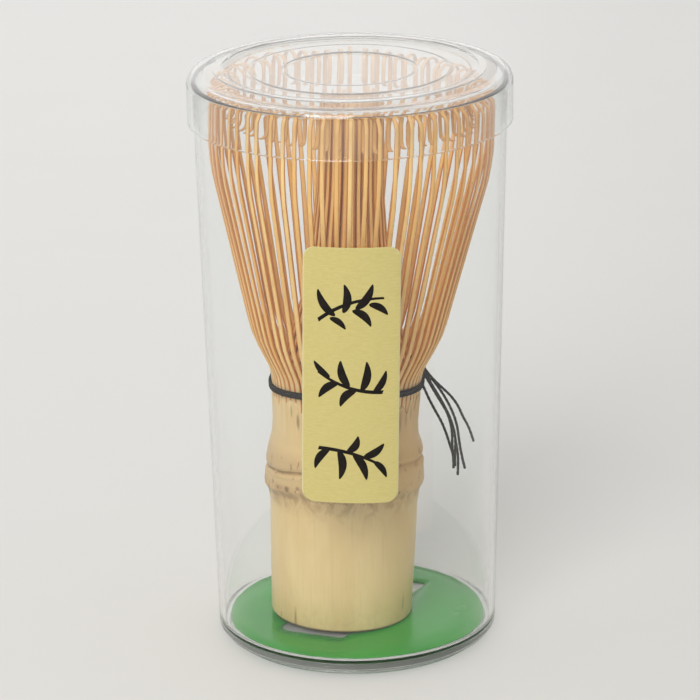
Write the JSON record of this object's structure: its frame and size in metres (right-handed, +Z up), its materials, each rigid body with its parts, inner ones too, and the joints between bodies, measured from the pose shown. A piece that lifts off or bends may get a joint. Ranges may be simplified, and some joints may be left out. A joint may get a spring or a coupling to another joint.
{
  "type": "bamboo tea whisk",
  "caption": "Bamboo tea whisk with curled tines and a black thread binding, standing in a clear round storage case with a push-on lid, a green base card and a gold label.",
  "frame": {"origin": "middle of the case's foot ring, on the surface that it stands on", "axes": "+Z up along the case, -Y out of the label, +X to the right of the label's face"},
  "size_m": [0.068, 0.068, 0.1254],
  "materials": {
    "clear_case": "clear polished moulding",
    "green_card": "printed satin card with a raw cut edge",
    "gold_label": "satin gold foil paper",
    "bamboo_culm": "smooth natural bamboo skin",
    "bamboo_tine": "shaved bamboo, satin",
    "black_thread": "twisted cotton thread"
  },
  "bodies": {
    "case": {"case_tube": "clear_case", "base_card": "green_card", "front_label": "gold_label"},
    "lid": {"case_lid": "clear_case"},
    "whisk": {"handle": "bamboo_culm", "outer_tines_01": "bamboo_tine", "outer_tines_02": "bamboo_tine", "outer_tines_03": "bamboo_tine", "outer_tines_04": "bamboo_tine", "outer_tines_05": "bamboo_tine", "outer_tines_06": "bamboo_tine", "outer_tines_07": "bamboo_tine", "outer_tines_08": "bamboo_tine", "outer_tines_09": "bamboo_tine", "outer_tines_10": "bamboo_tine", "outer_tines_11": "bamboo_tine", "outer_tines_12": "bamboo_tine", "outer_tines_13": "bamboo_tine", "outer_tines_14": "bamboo_tine", "outer_tines_15": "bamboo_tine", "outer_tines_16": "bamboo_tine", "inner_tines_01": "bamboo_tine", "inner_tines_02": "bamboo_tine", "inner_tines_03": "bamboo_tine", "inner_tines_04": "bamboo_tine", "inner_tines_05": "bamboo_tine", "inner_tines_06": "bamboo_tine", "inner_tines_07": "bamboo_tine", "inner_tines_08": "bamboo_tine", "inner_tines_09": "bamboo_tine", "inner_tines_10": "bamboo_tine", "inner_tines_11": "bamboo_tine", "inner_tines_12": "bamboo_tine", "inner_tines_13": "bamboo_tine", "inner_tines_14": "bamboo_tine", "inner_tines_15": "bamboo_tine", "inner_tines_16": "bamboo_tine", "binding_thread": "black_thread", "weave_thread": "black_thread", "thread_knot": "black_thread", "thread_tail_1": "black_thread", "thread_tail_2": "black_thread", "thread_tail_3": "black_thread", "thread_tail_4": "black_thread", "thread_tail_5": "black_thread", "thread_tail_6": "black_thread"}
  },
  "joints": [
    {"name": "lid_lift", "type": "slide", "parent": "case", "child": "lid", "axis": [0, 0, 1], "range_m": [0, 0.21]},
    {"name": "whisk_lift", "type": "slide", "parent": "case", "child": "whisk", "axis": [0, 0, 1], "range_m": [0, 0.126]}
  ],
  "couplings": [
    {"joint": "whisk_lift", "follows": "lid_lift", "ratio": 0.6}
  ]
}
